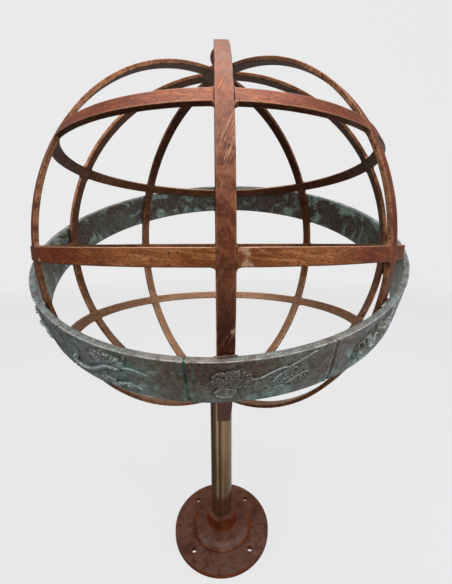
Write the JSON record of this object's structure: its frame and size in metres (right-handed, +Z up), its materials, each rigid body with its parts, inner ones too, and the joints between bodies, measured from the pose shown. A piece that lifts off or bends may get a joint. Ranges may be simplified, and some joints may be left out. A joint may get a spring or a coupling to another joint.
{
  "type": "armillary sphere",
  "caption": "Globe-shaped cage of flat bronze meridian bars and latitude rings with a tilted relief zodiac band, turning on a tube post over a round foot, with a lock screw.",
  "frame": {"origin": "centre of the foot's underside", "axes": "+Z up along the polar axis, -Y to the front where the zodiac band is lowest, +X to the right seen from the front"},
  "size_m": [0.8262, 0.8002, 1.294],
  "materials": {
    "brown_bronze": "brown bronze patina, brushed and worn on the edges",
    "verdigris_bronze": "cast bronze with mottled verdigris over dark brown",
    "braze": "small rough braze beads",
    "dull_bronze": "dull polished bronze tube",
    "bearing_bronze": "machined bearing bronze",
    "steel": "turned steel"
  },
  "bodies": {
    "stand": {"foot": "brown_bronze", "foot_grub_screws": "steel", "post_tube": "dull_bronze", "upper_bush": "bearing_bronze", "lower_bush": "bearing_bronze", "thrust_washer": "bearing_bronze", "lock_boss": "dull_bronze"},
    "cage": {"meridian_rib_1": "brown_bronze", "meridian_rib_2": "brown_bronze", "meridian_rib_3": "brown_bronze", "meridian_rib_4": "brown_bronze", "meridian_rib_5": "brown_bronze", "meridian_rib_6": "brown_bronze", "meridian_rib_7": "brown_bronze", "meridian_rib_8": "brown_bronze", "equator_ring": "brown_bronze", "upper_tropic_ring": "brown_bronze", "lower_tropic_ring": "brown_bronze", "zodiac_panel_01": "verdigris_bronze", "zodiac_panel_02": "verdigris_bronze", "zodiac_panel_03": "verdigris_bronze", "zodiac_panel_04": "verdigris_bronze", "zodiac_panel_05": "verdigris_bronze", "zodiac_panel_06": "verdigris_bronze", "zodiac_panel_07": "verdigris_bronze", "zodiac_panel_08": "verdigris_bronze", "zodiac_panel_09": "verdigris_bronze", "zodiac_panel_10": "verdigris_bronze", "zodiac_panel_11": "verdigris_bronze", "zodiac_panel_12": "verdigris_bronze", "band_braze_beads": "braze", "north_hub_plate": "brown_bronze", "south_hub_plate": "brown_bronze", "finial": "brown_bronze", "finial_nut": "brown_bronze", "spindle": "steel", "spindle_bolt": "steel", "spindle_dowels": "steel", "spindle_circlip": "steel"},
    "lock_pad": {"lock_pad": "bearing_bronze"},
    "lock_handle": {"lock_screw": "steel", "lock_knob": "dull_bronze"}
  },
  "joints": [
    {"name": "cage_turn", "type": "hinge", "parent": "stand", "child": "cage", "pos_m": [0, 0, 0.44], "axis": [0, 0, 1], "continuous": true},
    {"name": "lock_travel", "type": "slide", "parent": "stand", "child": "lock_pad", "axis": [0, 1, 0], "range_m": [0, 0.0045]},
    {"name": "lock_turn", "type": "hinge", "parent": "lock_pad", "child": "lock_handle", "pos_m": [0, 0.04, 0.34], "axis": [0, 1, 0], "range_deg": [0, 1080]}
  ],
  "couplings": [
    {"joint": "lock_turn", "follows": "lock_travel", "rad_per_m": 4188.8}
  ]
}
